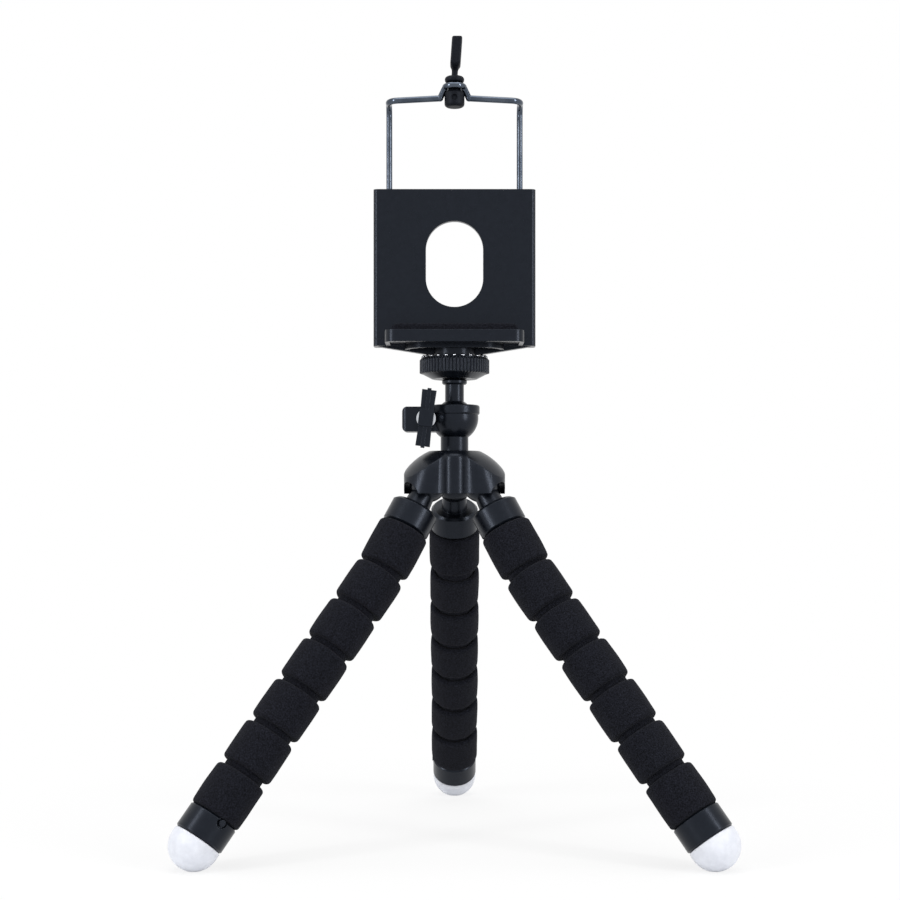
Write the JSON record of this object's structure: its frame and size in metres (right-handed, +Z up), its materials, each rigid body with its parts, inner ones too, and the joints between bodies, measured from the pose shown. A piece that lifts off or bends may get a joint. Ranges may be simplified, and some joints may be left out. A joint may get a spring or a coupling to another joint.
{
  "type": "flexible leg tripod",
  "caption": "Small stand with bendable foam-covered legs, a lockable ball head and a sprung wire clip that holds a phone on its long edge.",
  "frame": {"origin": "on the floor under the hub's axis, between the three feet", "axes": "+Z up along the hub's axis, -Y to the front of the clip, X along the phone"},
  "size_m": [0.1654, 0.1453, 0.2502],
  "materials": {
    "gloss_black": "gloss moulded plastic, black",
    "foam": "matte closed-cell foam, charcoal",
    "foot_rubber": "soft rubber, milky white",
    "grip_rubber": "soft rubber, black",
    "bright_metal": "bright plated steel",
    "spring_wire": "drawn spring wire",
    "core_wire": "bendable steel wire",
    "brass": "turned brass",
    "liner": "low-friction plastic"
  },
  "bodies": {
    "hub": {"hub": "gloss_black", "ball_socket": "gloss_black"},
    "clamp": {"clamp_screw": "bright_metal", "clamp_wing": "gloss_black"},
    "pan": {"ball_liner": "liner"},
    "head": {"head_ball": "gloss_black"},
    "ring": {"lock_ring": "gloss_black"},
    "clip": {"clip_base": "gloss_black", "jaw_pad": "foam", "thread_insert": "brass", "back_frame": "gloss_black", "jaw_springs": "spring_wire"},
    "jaw": {"wire_frame": "bright_metal", "top_grommet": "grip_rubber", "pull_tab": "grip_rubber"},
    "left_1": {"left_leg_cap": "gloss_black", "left_foam_1": "foam"},
    "left_2": {"left_foam_2": "foam", "left_core_2": "core_wire"},
    "left_3": {"left_foam_3": "foam", "left_core_3": "core_wire"},
    "left_4": {"left_foam_4": "foam", "left_core_4": "core_wire"},
    "left_5": {"left_foam_5": "foam", "left_core_5": "core_wire"},
    "left_6": {"left_foam_6": "foam", "left_core_6": "core_wire"},
    "left_7": {"left_foam_7": "foam", "left_foot_collar": "gloss_black", "left_foot": "foot_rubber"},
    "right_1": {"right_leg_cap": "gloss_black", "right_foam_1": "foam"},
    "right_2": {"right_foam_2": "foam", "right_core_2": "core_wire"},
    "right_3": {"right_foam_3": "foam", "right_core_3": "core_wire"},
    "right_4": {"right_foam_4": "foam", "right_core_4": "core_wire"},
    "right_5": {"right_foam_5": "foam", "right_core_5": "core_wire"},
    "right_6": {"right_foam_6": "foam", "right_core_6": "core_wire"},
    "right_7": {"right_foam_7": "foam", "right_foot_collar": "gloss_black", "right_foot": "foot_rubber"},
    "rear_1": {"rear_leg_cap": "gloss_black", "rear_foam_1": "foam"},
    "rear_2": {"rear_foam_2": "foam", "rear_core_2": "core_wire"},
    "rear_3": {"rear_foam_3": "foam", "rear_core_3": "core_wire"},
    "rear_4": {"rear_foam_4": "foam", "rear_core_4": "core_wire"},
    "rear_5": {"rear_foam_5": "foam", "rear_core_5": "core_wire"},
    "rear_6": {"rear_foam_6": "foam", "rear_core_6": "core_wire"},
    "rear_7": {"rear_foam_7": "foam", "rear_foot_collar": "gloss_black", "rear_foot": "foot_rubber"}
  },
  "joints": [
    {"name": "clamp_turn", "type": "hinge", "parent": "hub", "child": "clamp", "pos_m": [-0.0088, 0, 0.13245], "axis": [0, 1, 0], "range_deg": [-90, 90]},
    {"name": "head_pan", "type": "hinge", "parent": "hub", "child": "pan", "pos_m": [0, 0, 0.13305], "axis": [0, 0, 1], "continuous": true},
    {"name": "head_tilt", "type": "hinge", "parent": "pan", "child": "head", "pos_m": [0, 0, 0.13305], "axis": [1, 0, 0], "range_deg": [-25, 25]},
    {"name": "ring_turn", "type": "hinge", "parent": "head", "child": "ring", "pos_m": [0, 0, 0.14515], "axis": [0, 0, 1], "continuous": true},
    {"name": "clip_swivel", "type": "hinge", "parent": "head", "child": "clip", "pos_m": [0, 0, 0.15205], "axis": [0, 0, 1], "continuous": true},
    {"name": "jaw_slide", "type": "slide", "parent": "clip", "child": "jaw", "axis": [0, 0, 1], "range_m": [-0.015, 0.015], "stiffness_N_per_m": 300, "deforming": ["jaw_springs"]},
    {"name": "left_fold", "type": "hinge", "parent": "hub", "child": "left_1", "pos_m": [-0.00814, -0.0047, 0.11204], "axis": [-0.5, 0.866, 0], "range_deg": [-30, 22]},
    {"name": "left_bend_1", "type": "hinge", "parent": "left_1", "child": "left_2", "pos_m": [-0.02228, -0.01286, 0.08539], "axis": [0.5, -0.866, 0], "range_deg": [-7.5, 20.5]},
    {"name": "left_bend_2", "type": "hinge", "parent": "left_2", "child": "left_3", "pos_m": [-0.0302, -0.01743, 0.07369], "axis": [-0.6824, -0.394, 0.6157], "range_deg": [-14, 14]},
    {"name": "left_bend_3", "type": "hinge", "parent": "left_3", "child": "left_4", "pos_m": [-0.03812, -0.02201, 0.06199], "axis": [0.5, -0.866, 0], "range_deg": [-14, 14]},
    {"name": "left_bend_4", "type": "hinge", "parent": "left_4", "child": "left_5", "pos_m": [-0.04603, -0.02658, 0.05029], "axis": [-0.6824, -0.394, 0.6157], "range_deg": [-14, 14]},
    {"name": "left_bend_5", "type": "hinge", "parent": "left_5", "child": "left_6", "pos_m": [-0.05395, -0.03115, 0.03858], "axis": [0.5, -0.866, 0], "range_deg": [-14, 14]},
    {"name": "left_bend_6", "type": "hinge", "parent": "left_6", "child": "left_7", "pos_m": [-0.06187, -0.03572, 0.02688], "axis": [-0.6824, -0.394, 0.6157], "range_deg": [-14, 14]},
    {"name": "right_fold", "type": "hinge", "parent": "hub", "child": "right_1", "pos_m": [0.00814, -0.0047, 0.11204], "axis": [-0.5, -0.866, 0], "range_deg": [-30, 22]},
    {"name": "right_bend_1", "type": "hinge", "parent": "right_1", "child": "right_2", "pos_m": [0.02228, -0.01286, 0.08539], "axis": [0.5, 0.866, 0], "range_deg": [-7.5, 20.5]},
    {"name": "right_bend_2", "type": "hinge", "parent": "right_2", "child": "right_3", "pos_m": [0.0302, -0.01743, 0.07369], "axis": [0.6824, -0.394, 0.6157], "range_deg": [-14, 14]},
    {"name": "right_bend_3", "type": "hinge", "parent": "right_3", "child": "right_4", "pos_m": [0.03812, -0.02201, 0.06199], "axis": [0.5, 0.866, 0], "range_deg": [-14, 14]},
    {"name": "right_bend_4", "type": "hinge", "parent": "right_4", "child": "right_5", "pos_m": [0.04603, -0.02658, 0.05029], "axis": [0.6824, -0.394, 0.6157], "range_deg": [-14, 14]},
    {"name": "right_bend_5", "type": "hinge", "parent": "right_5", "child": "right_6", "pos_m": [0.05395, -0.03115, 0.03858], "axis": [0.5, 0.866, 0], "range_deg": [-14, 14]},
    {"name": "right_bend_6", "type": "hinge", "parent": "right_6", "child": "right_7", "pos_m": [0.06187, -0.03572, 0.02688], "axis": [0.6824, -0.394, 0.6157], "range_deg": [-14, 14]},
    {"name": "rear_fold", "type": "hinge", "parent": "hub", "child": "rear_1", "pos_m": [0, 0.0094, 0.11204], "axis": [1, 0, 0], "range_deg": [-30, 22]},
    {"name": "rear_bend_1", "type": "hinge", "parent": "rear_1", "child": "rear_2", "pos_m": [0, 0.02573, 0.08539], "axis": [-1, 0, 0], "range_deg": [-7.5, 20.5]},
    {"name": "rear_bend_2", "type": "hinge", "parent": "rear_2", "child": "rear_3", "pos_m": [0, 0.03487, 0.07369], "axis": [0, 0.788, 0.6157], "range_deg": [-14, 14]},
    {"name": "rear_bend_3", "type": "hinge", "parent": "rear_3", "child": "rear_4", "pos_m": [0, 0.04401, 0.06199], "axis": [-1, 0, 0], "range_deg": [-14, 14]},
    {"name": "rear_bend_4", "type": "hinge", "parent": "rear_4", "child": "rear_5", "pos_m": [0, 0.05316, 0.05029], "axis": [0, 0.788, 0.6157], "range_deg": [-14, 14]},
    {"name": "rear_bend_5", "type": "hinge", "parent": "rear_5", "child": "rear_6", "pos_m": [0, 0.0623, 0.03858], "axis": [-1, 0, 0], "range_deg": [-14, 14]},
    {"name": "rear_bend_6", "type": "hinge", "parent": "rear_6", "child": "rear_7", "pos_m": [0, 0.07144, 0.02688], "axis": [0, 0.788, 0.6157], "range_deg": [-14, 14]}
  ]
}
